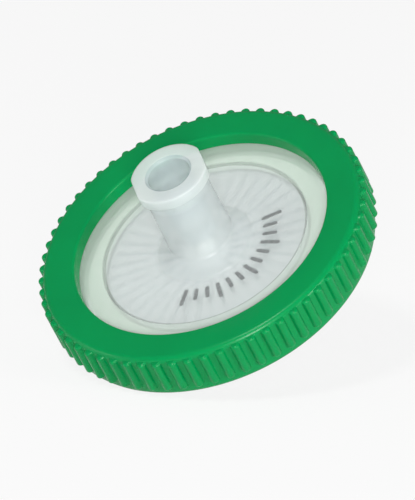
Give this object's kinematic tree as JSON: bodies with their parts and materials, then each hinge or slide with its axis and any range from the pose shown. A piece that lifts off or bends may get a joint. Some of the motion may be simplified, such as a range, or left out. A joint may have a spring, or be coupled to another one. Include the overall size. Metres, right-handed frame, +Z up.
{
  "type": "disc syringe filter",
  "caption": "Disc syringe filter leaning at rest, with a ribbed green grip ring round a clear housing, a female Luer lock inlet and a male Luer slip outlet.",
  "frame": {"origin": "on the surface it lies on, below the middle of the filter's outer box", "axes": "+Z up from that surface; the filter's own axis lies in the YZ plane, with the inlet up and towards -Y and the outlet down and towards +Y; +X runs across the ring"},
  "size_m": [0.034, 0.0298, 0.0226],
  "materials": {
    "ring_polypropylene": "smooth green moulded polypropylene",
    "clear_polypropylene": "natural translucent moulded polypropylene",
    "membrane": "matt white cast membrane"
  },
  "bodies": {
    "root": {"overmold_ring": "ring_polypropylene", "inlet_housing": "clear_polypropylene", "outlet_housing": "clear_polypropylene", "membrane": "membrane"}
  },
  "joints": []
}
